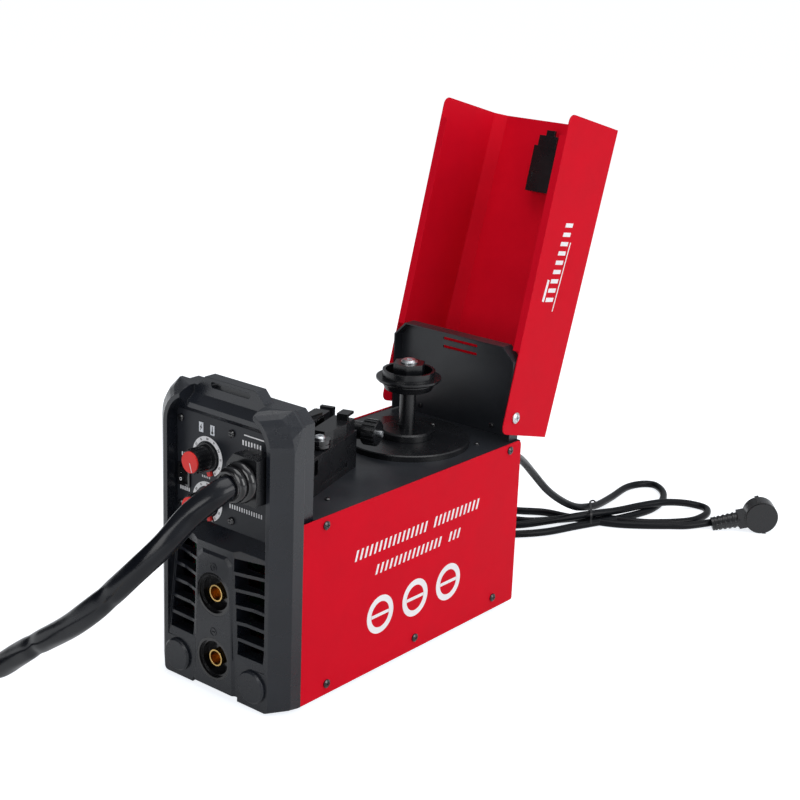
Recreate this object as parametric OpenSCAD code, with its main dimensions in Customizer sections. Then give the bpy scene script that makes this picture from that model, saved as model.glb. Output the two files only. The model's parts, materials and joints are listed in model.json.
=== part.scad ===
// Compact top-loading MIG welding machine with its hood standing open.
// Frame: +Z up, the front panel faces -Y, X = 0 is the mid-plane of the case.
// Origin: centre of the flat underside of the base tray.

/* [Case] */
// Overall width across the two side panels
case_w = 160; // [156:1:164]
// Length of the side panels
case_len = 315; // [312:1:318]
// Height of the side panels
case_h = 171; // [170:0.5:172]
// Thickness of the folded steel sheet
sheet_t = 1; // [0.8:0.1:1.2]
// Height of the feet below the tray
foot_h = 6; // [4:0.5:8]

/* [Front bezel] */
// Distance from the side panels to the front face
bezel_depth = 26; // [24:0.5:28]
// Top of the bezel above the tray
bezel_top = 270.5; // [268:0.5:272]
// Width lost on each side by the front chamfer
bezel_chamfer_x = 15.3; // [12:0.1:17]
// Depth of the front chamfer
bezel_chamfer_y = 13; // [11:0.5:14]
// Length of the stepped lip that the hood closes over
lip_len = 16.5; // [14:0.5:17]
// Number of air gaps in each front vent
vent_gaps = 6; // [4:1:6]

/* [Weld sockets] */
// Bore of the weld sockets, for a 35-50 size plug
socket_bore = 13; // [12.5:0.1:13.5]
// Height of the upper socket above the tray
socket_top_z = 91.5; // [88:0.5:92]
// Height of the lower socket above the tray
socket_low_z = 29; // [27:0.2:30]

/* [Controls] */
// Height of the upper knob
knob_top_z = 210; // [208:0.5:212]
// Height of the lower knob
knob_low_z = 168.3; // [166:0.5:170]
// Distance of both knobs from the mid-plane
knob_x = -22.3; // [-24:0.1:-20]
// Length of a knob
knob_len = 21; // [18:0.5:23]

/* [Hood] */
// Length of the hood along its free edge
hood_len = 315; // [312:1:316]
// Height of the hood wall at its rear end
hood_rear_h = 79; // [78.5:0.25:80]
// Height of the hood wall at its front end
hood_front_h = 89.6; // [89:0.2:92]
// Width of the 45 degree chamfer along the hood top
hood_chamfer = 10; // [9:0.5:10.5]
// How far the hood swings back from closed
hood_swing = 106.4; // [104:0.2:107]

/* [Wire drive] */
// Angle of the wire path, seen from above
feed_angle = 16.7; // [16:0.1:17.5]
// Height of the wire path above the tray
wire_z = 211; // [210.5:0.1:211.5]

/* [Spool hub] */
// Distance of the hub axis behind the mid-point of the case
hub_y = 76; // [75:0.5:77]
// Radius of the round hub plate
hub_plate_r = 62; // [58:0.5:62]

/* [Cables] */
// Diameter of the torch cable sleeve
torch_cable_d = 22; // [20:0.5:23]
// Diameter of the mains cord
cord_d = 8.5; // [7.5:0.5:9]

/* [Hidden] */

$fn = 48;
eps = 0.02;
slide_gap = 0.05;
facet_fn = 20;

half_w = case_w / 2;
panel_front_y = -case_len / 2;
panel_rear_y = case_len / 2;
deck_z = case_h - sheet_t;
floor_z = -foot_h;

bezel_front_y = panel_front_y - bezel_depth;
bezel_front_half = half_w - bezel_chamfer_x;
bezel_wall = 3;
bezel_front_low = floor_z + 2.5;
bezel_rear_low = 0;
bezel_top_chamfer = 12;
lip_half = half_w - 5;
lip_top = bezel_top - 2.5;
lip_chamfer = 10.5;
panel_plate_y = bezel_front_y + 12.5;
recess_half = bezel_front_half - 4.5;
recess_top = bezel_top - 6;
recess_low = 137;
column_half = 21;
column_top = 128;
vent_low = 43;
vent_pitch = 15.4;
vent_gap = 12.2;
lug_y = -166;

connector_x = 44;
gland_r = 18;
plug_face_r = 20.2;
insert_r = 7.8;

rear_face_y = panel_rear_y - 1.5;
rear_top = 265;
rear_flange = 13.5;
rear_half = 75;

pivot_y = 149.9;
pivot_z = 194.8;
pivot_r = 3;
hood_half = 76.4;
hood_pivot_along = 17.4;
hood_pivot_up = 17.5;
hood_droop = 0.9;
hood_taper = asin((hood_front_h - hood_rear_h) / hood_len);
hood_lip = 8;
hood_corner_r = 8;

knob_r = 13;
mode_switch_z = 186.4;
shaft_r = 3;

roll_r = 10;
roll_s = 110;
roll_h = 7;
roll_z = wire_z - roll_h / 2;
block_top = 206;
block_rear_s = 170.4;
block_right_v = 19.4;
tension_s = block_rear_s + 17;
tension_z = 200;
tension_pivot_v = -22;
arm_pivot_s = 78;

hub_plate_t = 6;
hub_boss_r = 25.5;
spindle_r = 7.9;
cup_flange_r = 31.6;

plug_r = 19;
plug_pos = [167.6, 521.4, floor_z + plug_r];
cord_end = [122.6, 490.8, 0];
foot_spots = [[-58, -100], [58, -100], [-58, 130], [58, 130]];

// ---------- shared shapes ----------

// Extrudes a 2-D shape drawn in X and Z along Y, from y0 to y1
module along_y(y0, y1) {
  translate([0, y1, 0]) rotate([90, 0, 0]) linear_extrude(y1 - y0) children();
}

// Extrudes a 2-D shape drawn in Y and Z along X, from x0 to x1
module along_x(x0, x1) {
  translate([x0, 0, 0]) rotate([90, 0, 90]) linear_extrude(x1 - x0) children();
}

// Cylinder along Y, starting at y0
module rod_y(x, z, r, y0, y1) {
  translate([x, y1, z]) rotate([90, 0, 0]) cylinder(r = r, h = y1 - y0);
}

// Cylinder along X
module rod_x(y, z, r, x0, x1) {
  translate([x0, y, z]) rotate([0, 90, 0]) cylinder(r = r, h = x1 - x0);
}

// Box given by its two corners
module span_box(low, high) {
  translate(low) cube(high - low);
}

// Upright outline with 45 degree top corners
module chamfered_outline(half, low, top, chamfer) {
  polygon([
    [-half, low], [half, low], [half, top - chamfer],
    [half - chamfer, top], [-half + chamfer, top], [-half, top - chamfer]
  ]);
}

// Upright outline with round corners
module round_outline(half, low, top, top_r, low_r) {
  hull() for (side = [-1, 1]) {
    translate([side * (half - top_r), top - top_r]) circle(r = top_r, $fn = 32);
    translate([side * (half - low_r), low + low_r]) circle(r = low_r, $fn = 16);
  }
}

// Pan-head screw that points along -Z, with its head above z = 0
module pan_screw(head_r, head_h, shank_r, shank_len) {
  difference() {
    union() {
      cylinder(r = head_r, h = head_h * 0.55);
      translate([0, 0, head_h * 0.55]) cylinder(r1 = head_r, r2 = head_r * 0.62, h = head_h * 0.45);
      translate([0, 0, -shank_len]) cylinder(r = shank_r, h = shank_len + eps);
    }
    for (turn = [0, 90]) rotate([0, 0, turn])
      translate([-head_r * 0.55, -head_r * 0.09, head_h * 0.5]) cube([head_r * 1.1, head_r * 0.18, head_h]);
  }
}

// Places children in the wire drive's own frame: X to the right of the
// wire, Y backwards along it, from the torch connector towards the spool
module feed_frame() {
  translate([connector_x, bezel_front_y, 0]) rotate([0, 0, feed_angle]) children();
}

// Round cord through a list of points
module cord_through(points, d, sides) {
  for (i = [0 : len(points) - 2]) hull() {
    translate(points[i]) sphere(d = d, $fn = sides);
    translate(points[i + 1]) sphere(d = d, $fn = sides);
  }
}

// Point on a Catmull-Rom curve between b and c
function curve_point(a, b, c, d, t) =
  0.5 * (2 * b + (c - a) * t + (2 * a - 5 * b + 4 * c - d) * t * t
    + (3 * b - a - 3 * c + d) * t * t * t);

// Smooth path through the given points, with steps points for each stretch
function smooth_path(p, steps) = [
  for (i = [0 : len(p) - 2], k = [0 : steps - 1])
    curve_point(p[max(i - 1, 0)], p[i], p[i + 1], p[min(i + 2, len(p) - 1)], k / steps),
  p[len(p) - 1]
];

// ---------- case ----------

module base_tray() {
  inner = half_w - sheet_t - 0.1;
  color("dimgray") difference() {
    union() {
      span_box([-inner, panel_front_y + 1, 0], [inner, rear_face_y - 0.1, sheet_t]);
      for (side = [-1, 1]) scale([side, 1, 1])
        span_box([inner - sheet_t, panel_front_y + 20, 0], [inner, rear_face_y - 0.1, 22]);
    }
    for (x = [-40 : 20 : 40], y = [-90 : 30 : 60])
      translate([x, y, -1]) cylinder(r = 3, h = 4);
    for (spot = foot_spots) translate([spot[0], spot[1], -1]) cylinder(r = 10.1, h = 4);
  }
}

// Feet plugged into the holes of the tray
module rubber_feet() {
  color("black") for (spot = foot_spots) translate([spot[0], spot[1], floor_z]) {
    cylinder(r1 = 9, r2 = 10, h = foot_h);
    translate([0, 0, foot_h - eps]) cylinder(r = 10, h = sheet_t + 3 * eps);
    translate([0, 0, foot_h + sheet_t + eps]) cylinder(r1 = 11.5, r2 = 9, h = 2.5);
  }
}

module side_panel_profile() {
  corner = 5;
  difference() {
    translate([panel_front_y, 0]) square([case_len, case_h]);
    translate([panel_rear_y - corner, case_h - corner]) square(corner + 1);
    translate([panel_rear_y + 1, -1]) rotate(45) square([5, 5], center = true);
  }
  translate([panel_rear_y - corner, case_h - corner]) circle(r = corner);
}

module right_side_panel_shape() {
  difference() {
    along_x(half_w - sheet_t, half_w) side_panel_profile();
    side_screw_places() rotate([0, 90, 0]) translate([0, 0, -4]) cylinder(r = 2.1, h = 8);
  }
}

// The five screws of one side panel
module side_screw_places() {
  spots = [[-129, 163], [-124, 10.5], [0, 12], [123, 13], [139, 164.5]];
  for (spot = spots) translate([half_w, spot[0], spot[1]]) children();
}

module right_side_panel() {
  color("crimson") right_side_panel_shape();
}

module left_side_panel() {
  color("crimson") mirror([1, 0, 0]) right_side_panel_shape();
}

module side_panel_screws() {
  color("black") for (flip = [0, 1]) mirror([flip, 0, 0])
    side_screw_places() rotate([0, 90, 0]) pan_screw(4, 2.2, 2, 1);
}

// ---------- front bezel ----------

// Round in front, cut at 45 degrees behind
module bezel_body() {
  middle_y = bezel_front_y + bezel_chamfer_y;
  hull() {
    along_y(bezel_front_y, bezel_front_y + 0.5)
      round_outline(bezel_front_half, bezel_front_low, bezel_top - 2.5, 32, 4);
    along_y(middle_y, middle_y + 0.5)
      round_outline(half_w, bezel_rear_low, bezel_top, 34, 4);
    along_y(panel_front_y - 3, panel_front_y)
      chamfered_outline(half_w, bezel_rear_low, bezel_top, bezel_top_chamfer);
  }
}

module bezel_cavity() {
  along_y(panel_plate_y + 5, panel_plate_y + 9)
    chamfered_outline(half_w - bezel_wall, 4, 246, bezel_top_chamfer);
  along_y(panel_plate_y + 9 - eps, panel_front_y - 2 + eps)
    chamfered_outline(half_w - bezel_wall, 4, bezel_top - bezel_wall, bezel_top_chamfer);
  along_y(panel_front_y - 2, panel_front_y + lip_len + 1)
    chamfered_outline(lip_half - 2, 1.5, lip_top - 2, lip_chamfer - 0.5);
}

// Opening of the control recess: narrows towards the panel plate
module control_recess() {
  hull() {
    along_y(bezel_front_y - 1, bezel_front_y)
      round_outline(recess_half, recess_low, recess_top, 28, 3);
    along_y(panel_plate_y - 0.1, panel_plate_y)
      round_outline(recess_half, 150, 247, 4, 4);
  }
  along_y(panel_plate_y - 0.2, panel_plate_y + 2.05)
    round_outline(recess_half, 150, 247, 4, 4);
}

// The recess stays open above, back to the face of the carry lug
module recess_top_opening() {
  along_x(-recess_half + 16, recess_half - 16) polygon([
    [bezel_front_y - 2, 285], [lug_y, 285], [lug_y, 263],
    [lug_y - 8, 256], [lug_y - 8, 246], [bezel_front_y - 2, 246]
  ]);
}

// The lower face sweeps back on each side of the middle column
module swept_side_cut() {
  hull() {
    translate([0, 0, recess_low + 2]) linear_extrude(0.1) polygon([
      [column_half + 1, bezel_front_y - 1], [column_half + 1, bezel_front_y],
      [recess_half, bezel_front_y + 13], [recess_half, bezel_front_y - 1]
    ]);
    translate([0, 0, 34]) linear_extrude(0.1) polygon([
      [column_half + 1, bezel_front_y - 1], [column_half + 1, bezel_front_y - 0.9],
      [recess_half, bezel_front_y + 0.5], [recess_half, bezel_front_y - 1]
    ]);
  }
}

// Middle column: flares towards the foot and has bevelled sides
module bezel_column() {
  hull() {
    along_y(bezel_front_y - 2, bezel_front_y - 1.5) column_outline(0);
    along_y(bezel_front_y, bezel_front_y + 4) column_outline(2.5);
  }
}

module column_outline(grow) {
  top_half = column_half - 2.2 + grow;
  low_half = column_half + 2.4 + grow;
  polygon([
    [-low_half, -3], [low_half, -3], [top_half, column_top - 6 + grow], [top_half - 6, column_top + grow],
    [-top_half + 6, column_top + grow], [-top_half, column_top - 6 + grow]
  ]);
}

module vent_openings() {
  for (side = [-1, 1], i = [0 : vent_gaps - 1]) {
    start = column_half + 6.5 - i * 0.9;
    scale([side, 1, 1])
      translate([start, bezel_front_y - 4, vent_low + i * vent_pitch])
        rotate([-8, 0, 0]) cube([recess_half - 2.5 - start, 32, vent_gap]);
  }
}

module carry_lug() {
  difference() {
    along_y(lug_y, lug_y + 12) polygon([
      [-42, bezel_top - 3], [-40, bezel_top - 0.5], [-30.5, bezel_top + 9.5],
      [30.5, bezel_top + 9.5], [40, bezel_top - 0.5], [42, bezel_top - 3]
    ]);
    hull() for (x = [-21, 21]) rod_y(x, bezel_top + 3.6, 2.6, -170, -150);
  }
}

module front_bezel() {
  color([0.16, 0.17, 0.19]) difference() {
    union() {
      bezel_body();
      bezel_column();
      along_y(panel_front_y - 3, panel_front_y + lip_len)
        chamfered_outline(lip_half, 1.5, lip_top, lip_chamfer);
      carry_lug();
    }
    bezel_cavity();
    control_recess();
    recess_top_opening();
    for (side = [-1, 1]) scale([side, 1, 1]) swept_side_cut();
    vent_openings();
    for (z = [socket_top_z, socket_low_z]) rod_y(0, z, plug_face_r, bezel_front_y - 5, -150);
    for (z = [knob_top_z, knob_low_z]) rod_y(knob_x, z, 5, panel_plate_y - 1, -150);
    rod_y(connector_x, wire_z, 14, panel_plate_y - 1, -150);
    switch_cut(-51, mode_switch_z, panel_plate_y - 1, -150);
    span_box([-28, bezel_front_y - 5, floor_z - 1], [28, panel_front_y + 1, bezel_rear_low + 0.5]);
  }
}

// Round caps pressed on the lower corners
module foot_caps() {
  color([0.16, 0.17, 0.19]) for (x = [-46.5, 46.5]) {
    rod_y(x, 17.5, 15.3, bezel_front_y - 2, bezel_front_y);
    translate([x, bezel_front_y - 2 + eps, 17.5]) rotate([90, 0, 0]) cylinder(r1 = 15.3, r2 = 13.8, h = 1.5);
  }
}

// ---------- control panel ----------

module switch_cut(x, z, y0, y1) {
  span_box([x - 6.5, y0, z - 9.5], [x + 6.5, y1, z + 9.5]);
}

module panel_screw_places() {
  spots = [[-55, 238.5], [7.6, 238.5], [-55, 158.5], [7.6, 158.5]];
  for (spot = spots) translate([spot[0], panel_plate_y, spot[1]]) rotate([90, 0, 0]) children();
}

module control_panel() {
  color([0.24, 0.25, 0.28]) difference() {
    along_y(panel_plate_y, panel_plate_y + 2) round_outline(recess_half - 0.1, 150.1, 246.9, 4, 4);
    for (z = [knob_top_z, knob_low_z]) rod_y(knob_x, z, 3.5, panel_plate_y - 1, panel_plate_y + 3);
    rod_y(connector_x, wire_z, 14, panel_plate_y - 1, panel_plate_y + 3);
    switch_cut(-51, mode_switch_z, panel_plate_y - 1, panel_plate_y + 3);
    for (x = [-29.8, -15.9]) span_box([x - 2.5, panel_plate_y - 1, 231], [x + 2.5, panel_plate_y + 3, 240]);
    panel_screw_places() translate([0, 0, -3]) cylinder(r = 1.7, h = 5);
  }
}

module panel_screws() {
  color("black") panel_screw_places() pan_screw(3.5, 2.4, 1.6, 1.9);
}

module indicator_lenses() {
  color("white") for (x = [-29.8, -15.9])
    span_box([x - 2.45, panel_plate_y - 0.6, 231.05], [x + 2.45, panel_plate_y + 2, 239.95]);
}

// One knob with its shaft; the grip tapers and carries 18 grip ribs
module knob(z) {
  front = panel_plate_y - 0.6 - knob_len;
  rod_y(knob_x, z, shaft_r, front + 4, panel_plate_y + 16);
  translate([knob_x, panel_plate_y - 0.6, z]) rotate([90, 0, 0]) {
    cylinder(r = knob_r, h = 3);
    translate([0, 0, 3 - eps]) cylinder(r1 = 11.2, r2 = 10.4, h = knob_len - 4.5);
    for (turn = [0 : 20 : 340]) rotate([0, 0, turn])
      translate([10.3, -0.6, 3 - eps]) cube([1, 1.2, knob_len - 6]);
  }
}

// Red disc on the knob's nose and the red pointer on its skirt
module knob_cap(z) {
  translate([knob_x, 0, z]) rotate([0, -18, 0]) translate([-knob_x, 0, -z]) pointer_cap(z);
}

// The same with the pointer straight down
module pointer_cap(z) {
  difference() {
    rod_y(knob_x, z, 9.6, panel_plate_y - 0.6 - knob_len, panel_plate_y + 0.9 - knob_len);
    span_box(
      [knob_x - 0.35, panel_plate_y - 1 - knob_len, z - 9.7],
      [knob_x + 0.35, panel_plate_y - 0.2 - knob_len, z - 1]
    );
  }
  span_box([knob_x - 2, panel_plate_y - 3.2, z - 17], [knob_x + 2, panel_plate_y - 0.6, z - knob_r - eps]);
}

module current_knob() {
  color([0.08, 0.08, 0.09]) knob(knob_top_z);
}

module current_knob_cap() {
  color("red") knob_cap(knob_top_z);
}

module speed_knob() {
  color([0.08, 0.08, 0.09]) knob(knob_low_z);
}

module speed_knob_cap() {
  color("red") knob_cap(knob_low_z);
}

// Potentiometers behind the panel, each with a bore for the knob's shaft
module potentiometers() {
  color("silver") for (z = [knob_top_z, knob_low_z]) difference() {
    union() {
      rod_y(knob_x, z, 8, panel_plate_y + 6, panel_plate_y + 18);
      rod_y(knob_x, z, 4.5, panel_plate_y + 2.2, panel_plate_y + 6 + eps);
    }
    rod_y(knob_x, z, shaft_r + slide_gap, panel_plate_y, panel_plate_y + 16.1);
  }
}

// Frame of a rocker switch seen from its front, around a 10 x 16 window
module switch_frame() {
  difference() {
    union() {
      translate([-7.5, -10.5, 0]) cube([15, 21, 1.5]);
      translate([-6.4, -9.4, -14]) cube([12.8, 18.8, 14 + eps]);
    }
    translate([-5.2, -8.2, -11]) cube([10.4, 16.4, 14]);
    translate([-6.2, 0, -4]) rotate([0, 90, 0]) cylinder(r = 1.2 + slide_gap, h = 12.4);
  }
}

// Rocker that turns about X through its pivot 4 mm below the frame's face
module rocker() {
  translate([0, 0, -4]) rotate([7, 0, 0]) {
    rotate([90, 0, 90]) translate([0, 0, -5]) linear_extrude(10)
      polygon([[-7.4, 5.2], [0, 4.6], [7.4, 5.2], [7.4, 0], [3, -4], [-3, -4], [-7.4, 0]]);
    translate([-6.1, 0, 0]) rotate([0, 90, 0]) cylinder(r = 1.2, h = 12.2);
  }
}

module at_mode_switch() {
  translate([-51, panel_plate_y, mode_switch_z]) rotate([90, 0, 0]) children();
}

module at_power_switch() {
  translate([-48, rear_face_y + 1.5, 132]) rotate([-90, 180, 0]) children();
}

module switch_housings() {
  color([0.1, 0.1, 0.1]) {
    at_mode_switch() switch_frame();
    at_power_switch() switch_frame();
  }
}

module mode_rocker() {
  color("black") at_mode_switch() rocker();
}

module power_rocker() {
  color("black") at_power_switch() rocker();
}

// ---------- weld sockets and torch ----------

module weld_sockets() {
  color([0.06, 0.06, 0.07]) for (z = [socket_top_z, socket_low_z]) difference() {
    union() {
      rod_y(0, z, plug_face_r - 0.1, bezel_front_y - 2, bezel_front_y + 14);
      rod_y(0, z, 15, bezel_front_y + 14 - eps, bezel_front_y + 42);
    }
    rod_y(0, z, plug_face_r - 2.5, bezel_front_y - 3, bezel_front_y + 1);
    rod_y(0, z, plug_face_r - 4.4, bezel_front_y - 3, bezel_front_y + 9);
    rod_y(0, z, insert_r, bezel_front_y - 3, bezel_front_y + 43);
  }
}

module socket_inserts() {
  color("gold") for (z = [socket_top_z, socket_low_z]) difference() {
    union() {
      rod_y(0, z, insert_r, bezel_front_y + 1, bezel_front_y + 50);
      rod_y(0, z, 5, bezel_front_y + 50 - eps, bezel_front_y + 62);
    }
    rod_y(0, z, socket_bore / 2, bezel_front_y, bezel_front_y + 22);
  }
}

// Square block with cut corners that carries the torch gland
module torch_connector_block() {
  color([0.14, 0.14, 0.16]) difference() {
    union() {
      along_y(panel_plate_y - 22, panel_plate_y) translate([connector_x, wire_z]) polygon([
        [-13, -21], [13, -21], [14.3, -20], [14.3, 20], [13, 21], [-13, 21], [-21, 11], [-21, -11]
      ]);
      rod_y(connector_x, wire_z, 13.8, panel_plate_y - eps, panel_plate_y + 20);
    }
    rod_y(connector_x, wire_z, 3, panel_plate_y - 30, panel_plate_y + 30);
  }
}

// Two round beads around the cable entry
module torch_gland_nut() {
  bead = 5;
  inner = torch_cable_d / 2 + 0.1;
  color([0.05, 0.05, 0.06]) translate([connector_x, panel_plate_y - 22, wire_z]) rotate([90, 0, 0])
    rotate_extrude() {
      translate([inner, 0]) square([gland_r - bead - inner, 17]);
      translate([gland_r - bead, 5]) circle(r = bead);
      translate([gland_r - bead - 1.5, 14]) circle(r = bead - 0.6);
      translate([inner, 12]) square([1.8, 8]);
    }
}

torch_cable_points = [
  [connector_x, panel_plate_y - 22 - torch_cable_d / 2, wire_z], [42, -222, 207], [30, -240, 190],
  [20, -259, 168], [4, -272, 146], [-16, -282, 122], [-40, -290, 97], [-63, -293, 77],
  [-97, -297, 53], [-129, -300, 29], [-152, -303, 12], [-172, -312, 5.2],
  [-188, -330, 5.2], [-190, -352, 5.2], [-176, -374, 5.2], [-150, -392, 5.2]
];

module torch_cable() {
  color("black") cord_through(smooth_path(torch_cable_points, 2), torch_cable_d, 12);
}

trigger_pivot = [100, -9];

// Frame of the torch that lies on the floor: X runs along the grip
module torch_frame() {
  translate([-150, -392, 6]) rotate([0, 0, -36]) children();
}

module torch_handle() {
  color([0.12, 0.12, 0.13]) torch_frame() difference() {
    hull() {
      for (x = [11.2, 120]) translate([x, 0, 0]) scale([1, 1, 0.8])
        rotate([0, 90, 0]) cylinder(r = x < 50 ? 13 : 14.5, h = 4, $fn = 32);
      translate([60, 0, 0]) scale([1, 1, 0.8]) sphere(r = 15, $fn = 32);
    }
    translate([66, -22, -4.5]) cube([40, 24, 9]);
    translate([119, 0, 0]) rotate([0, 90, 0]) cylinder(r = 7, h = 10);
    translate([trigger_pivot[0], trigger_pivot[1], -7]) cylinder(r = 1.5 + slide_gap, h = 14);
  }
}

module torch_trigger() {
  color("crimson") torch_frame() {
    translate([67, -17, -4]) cube([37, 12, 8]);
    translate([trigger_pivot[0], trigger_pivot[1], -6.9]) cylinder(r = 1.5, h = 13.8);
  }
}

// Curved steel neck, insulator and gas nozzle
module torch_neck() {
  bend_r = 34;
  color("goldenrod") torch_frame() translate([119.1, 0, 0]) {
    rotate([0, 90, 0]) cylinder(r = 6.9, h = 27);
    translate([26, -bend_r, 0]) rotate([0, 0, 45]) rotate_extrude(angle = 45)
      translate([bend_r, 0]) circle(r = 6.2);
    translate([26, -bend_r, 0]) rotate([0, 0, -45]) translate([0, bend_r, 0]) {
      translate([-1, 0, 0]) rotate([0, 90, 0]) cylinder(r = 6.7, h = 13);
      translate([10, 0, 0]) rotate([0, 90, 0]) cylinder(r = 9.5, h = 12);
      translate([20, 0, 0]) rotate([0, 90, 0]) difference() {
        cylinder(r = 8.5, h = 36);
        translate([0, 0, 24]) cylinder(r = 6.6, h = 14);
      }
      translate([40, 0, 0]) rotate([0, 90, 0]) cylinder(r = 3, h = 14);
    }
  }
}

// ---------- deck, rear panel and hood ----------

module deck_plate() {
  inner = half_w - sheet_t - 0.1;
  color([0.13, 0.14, 0.15]) difference() {
    union() {
      span_box([-inner, panel_front_y + lip_len + 0.6, deck_z - 1.2], [inner, rear_face_y - 0.1, deck_z]);
      span_box([-lip_half + 2.2, panel_front_y + 8, deck_z - 1.2],
        [lip_half - 2.2, panel_front_y + lip_len + 1, deck_z]);
    }
    feed_frame() translate([-6, 140, deck_z - 5]) cylinder(r = 19.2, h = 8);
    feed_frame() translate([roll_r, roll_s, deck_z - 5]) cylinder(r = 6, h = 8);
    translate([0, hub_y, deck_z - 5]) cylinder(r = 5.1, h = 8);
  }
}

module deck_screw_places() {
  for (spot = [[52, -96.5], [55, 118], [-66, -96.5], [-55, 118]])
    translate([spot[0], spot[1], deck_z]) children();
}

module deck_screws() {
  color("black") {
    deck_screw_places() pan_screw(2.8, 1.8, 1.2, 0);
    for (x = [-47, 44]) translate([x, rear_face_y, deck_z + 8]) rotate([90, 0, 0]) pan_screw(2.8, 1.8, 1.2, 0);
    translate([-1.5, hub_y + 44, deck_z + hub_plate_t]) pan_screw(2.8, 1.6, 1.2, 0);
  }
}

// Pan with forward flanges above the deck
module rear_panel() {
  low_half = half_w - sheet_t - 0.1;
  color([0.13, 0.14, 0.15]) difference() {
    union() {
      along_y(rear_face_y, rear_face_y + 1.5) chamfered_outline(rear_half, case_h - 0.5, rear_top, rear_flange);
      span_box([-low_half, rear_face_y, 0], [low_half, rear_face_y + 1.5, case_h - 0.4]);
      difference() {
        along_y(rear_face_y - 12.5, rear_face_y + 1)
          chamfered_outline(rear_half, case_h + 0.1, rear_top, rear_flange);
        along_y(rear_face_y - 13, rear_face_y)
          chamfered_outline(rear_half - 1.2, case_h - 1, rear_top - 1.2, rear_flange);
      }
    }
    for (z = [246.5, 255]) hull() for (x = [-20, 20]) rod_y(x, z, 1.4, rear_face_y - 1, rear_face_y + 3);
    rod_x(pivot_y, pivot_z, 1.8, -90, 90);
    translate([-48, rear_face_y - 1, 132]) translate([-6.5, 0, -9.5]) cube([13, 4, 19]);
    rod_y(50, 140, 8, rear_face_y - 1, rear_face_y + 3);
    rod_y(-48, 92, 5, rear_face_y - 1, rear_face_y + 3);
    for (ring = [10 : 8 : 34]) difference() {
      rod_y(0, 62, ring + 2.4, rear_face_y - 1, rear_face_y + 3);
      rod_y(0, 62, ring - 2.4, rear_face_y - 2, rear_face_y + 4);
      for (turn = [45, 135]) translate([0, rear_face_y, 62]) rotate([0, turn, 0]) cube([90, 8, 4], center = true);
    }
  }
}

// Puts a hood drawn closed, with its pivot at the origin, into the open pose
module at_hood_pivot() {
  translate([0, pivot_y, pivot_z]) rotate([-hood_swing, 0, 0]) children();
}

// The closed hood's own frame: X across, Y forward along the free edge from
// its rear corner, Z up from the free edge
module hood_frame() {
  at_hood_pivot()
    rotate([hood_droop, 0, 0])
      translate([0, hood_pivot_along, -hood_pivot_up])
        rotate([0, 0, 180]) children();
}

module hood_wall_profile() {
  r = hood_corner_r;
  difference() {
    polygon([
      [0, 0], [hood_len, 0],
      [hood_len, hood_front_h + hood_chamfer + 3], [0, hood_front_h + hood_chamfer + 3]
    ]);
    translate([-1, -1]) square(r + 1);
    translate([hood_len - r, -1]) square([r + 1, r + 1]);
  }
  for (y = [r, hood_len - r]) translate([y, r]) circle(r = r);
}

module hood_channel(half, top_drop) {
  translate([0, 0, hood_rear_h]) rotate([hood_taper, 0, 0])
    translate([0, hood_len + 20, 0]) rotate([90, 0, 0]) linear_extrude(hood_len + 40)
      polygon([
        [-half, -130], [half, -130], [half, -top_drop], [half - hood_chamfer, hood_chamfer - top_drop],
        [-half + hood_chamfer, hood_chamfer - top_drop], [-half, -top_drop]
      ]);
}

module hood() {
  color("crimson") hood_frame() {
    difference() {
      intersection() {
        hood_channel(hood_half, 0);
        along_x(-hood_half - 1, hood_half + 1) hood_wall_profile();
      }
      hood_channel(hood_half - sheet_t, sheet_t);
      rod_x(hood_pivot_along, hood_pivot_up, pivot_r + slide_gap, -90, 90);
      translate([-5, hood_len - 58, hood_front_h]) cube([10, 34, 20]);
    }
    for (side = [-1, 1]) scale([side, 1, 1])
      span_box([hood_half - hood_lip, 82, 0], [hood_half - sheet_t + eps, hood_len - 21.5, sheet_t]);
  }
}

// Shoulder screws that the hood turns on
module hood_pivot_screws() {
  color("silver") for (flip = [0, 1]) mirror([flip, 0, 0])
    translate([hood_half + 0.1, pivot_y, pivot_z]) rotate([0, 90, 0]) {
      difference() {
        union() {
          cylinder(r = 5.6, h = 1.3);
          translate([0, 0, 1.3]) cylinder(r1 = 5.6, r2 = 3.6, h = 1.3);
        }
        for (turn = [0, 90]) rotate([0, 0, turn]) translate([-3, -0.5, 1.2]) cube([6, 1, 3]);
      }
      translate([0, 0, -hood_half + rear_half - 0.1]) cylinder(r = pivot_r, h = hood_half - rear_half + 0.1);
      translate([0, 0, -6]) cylinder(r = 1.8, h = 6);
    }
}

// Latch housing under the hood's top, near its front end
module latch_body() {
  color([0.1, 0.1, 0.11]) hood_frame() translate([0, 0, hood_top_at(hood_len - 45)]) difference() {
    union() {
      span_box([-14, hood_len - 74, -13.5], [14, hood_len - 27, -0.7]);
      span_box([-11, hood_len - 27 - eps, -12], [11, hood_len - 16, -0.7]);
    }
    span_box([-5.2, hood_len - 70, -10], [5.2, hood_len - 10, 3]);
    span_box([3, hood_len - 56, -14], [10, hood_len - 54, -12.6]);
    span_box([8, hood_len - 64, -14], [10, hood_len - 54, -12.6]);
  }
}

// Height of the hood's inner top surface above the free edge
function hood_top_at(along) =
  hood_rear_h + hood_chamfer - sheet_t + along * tan(hood_taper) - 0.6;

// Thumb slide with the nose that reaches under the bezel lip
module latch_slider() {
  color([0.1, 0.1, 0.11]) hood_frame() translate([0, 0, hood_top_at(hood_len - 45)]) {
    span_box([-5, hood_len - 62, -9.5], [5, hood_len - 10, -6.5]);
    span_box([-4.5, hood_len - 54, -6.6], [4.5, hood_len - 34, 4.5]);
  }
}

// ---------- wire drive ----------

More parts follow.
